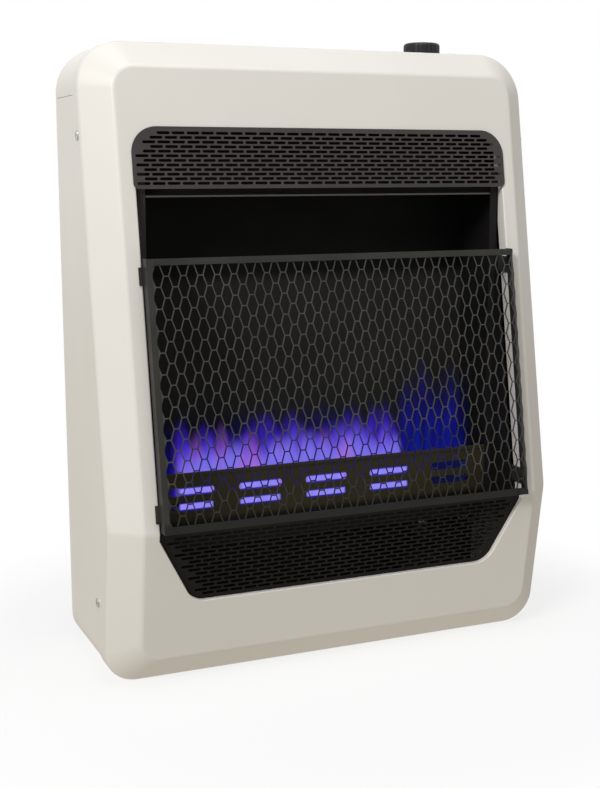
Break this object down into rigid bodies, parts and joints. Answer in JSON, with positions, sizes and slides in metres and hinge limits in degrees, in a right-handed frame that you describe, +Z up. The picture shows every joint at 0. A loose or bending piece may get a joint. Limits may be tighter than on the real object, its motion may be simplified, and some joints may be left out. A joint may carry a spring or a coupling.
{
  "type": "ventless gas heater",
  "caption": "White wall-mounted ventless gas heater with slotted grilles, a hexagonal mesh guard, a blue-flame burner inside and a push-and-turn control knob on top.",
  "frame": {"origin": "centre of the bounding box's bottom face, on the floor plane under the casing", "axes": "+Z up, the front faces -Y, +X to the right as seen from the front, the wall is at +Y"},
  "size_m": [0.4682, 0.1894, 0.6022],
  "materials": {
    "casing_paint": "satin",
    "zinc_steel": "satin",
    "cabinet_paint": "matte",
    "screw_steel": "satin",
    "grille_paint": "matte",
    "guard_enamel": "satin",
    "firebox_steel": "matte",
    "burner_steel": "satin",
    "brass": "satin",
    "valve_alloy": "satin",
    "copper_line": "satin",
    "ceramic": "satin",
    "black_plastic": "satin",
    "wire_sleeve": "matte"
  },
  "bodies": {
    "heater": {"back_panel": "cabinet_paint", "bottom_panel": "cabinet_paint", "bulb_clip": "zinc_steel", "burner_feet": "burner_steel", "burner_panel": "firebox_steel", "burner_port_strip": "burner_steel", "burner_tube": "burner_steel", "capillary_tube": "copper_line", "casing_screws": "screw_steel", "control_shield": "firebox_steel", "firebox_back": "firebox_steel", "firebox_brackets": "zinc_steel", "firebox_floor": "firebox_steel", "firebox_left": "firebox_steel", "firebox_right": "firebox_steel", "front_casing": "casing_paint", "gas_valve": "valve_alloy", "guard_frame": "guard_enamel", "guard_hooks": "guard_enamel", "guard_mesh": "guard_enamel", "guard_rivets": "guard_enamel", "heat_shield": "zinc_steel", "ignition_electrode": "ceramic", "ignition_wire": "wire_sleeve", "injector": "brass", "injector_bracket": "zinc_steel", "injector_holder": "brass", "inlet_pipe": "valve_alloy", "knob_bezel": "black_plastic", "left_side_panel": "casing_paint", "lower_grille": "grille_paint", "main_pipe": "valve_alloy", "mixing_tube": "burner_steel", "piezo_igniter": "black_plastic", "pilot_bracket": "burner_steel", "pilot_burner": "brass", "pilot_pipe": "valve_alloy", "pipe_nuts": "brass", "regulator_body": "cabinet_paint", "regulator_bracket": "cabinet_paint", "regulator_cap": "black_plastic", "return_spring": "screw_steel", "right_side_panel": "casing_paint", "sensing_bulb": "copper_line", "shield_spacers": "zinc_steel", "thermocouple": "burner_steel", "thermocouple_lead": "copper_line", "top_deflector": "firebox_steel", "top_panel": "casing_paint", "upper_grille": "grille_paint", "valve_bracket": "zinc_steel", "valve_nut": "screw_steel"},
    "plunger": {"valve_plunger": "screw_steel"},
    "knob": {"control_knob": "black_plastic", "valve_spindle": "screw_steel"}
  },
  "joints": [
    {"name": "knob_press", "type": "slide", "parent": "heater", "child": "plunger", "axis": [0, 0, -1], "range_m": [0, 0.005], "stiffness_N_per_m": 1500, "springref_m": -0.004, "deforming": ["return_spring"]},
    {"name": "knob_turn", "type": "hinge", "parent": "plunger", "child": "knob", "pos_m": [0.14, 0.04971, 0.59], "axis": [0, 0, 1], "range_deg": [-150, 90]}
  ]
}
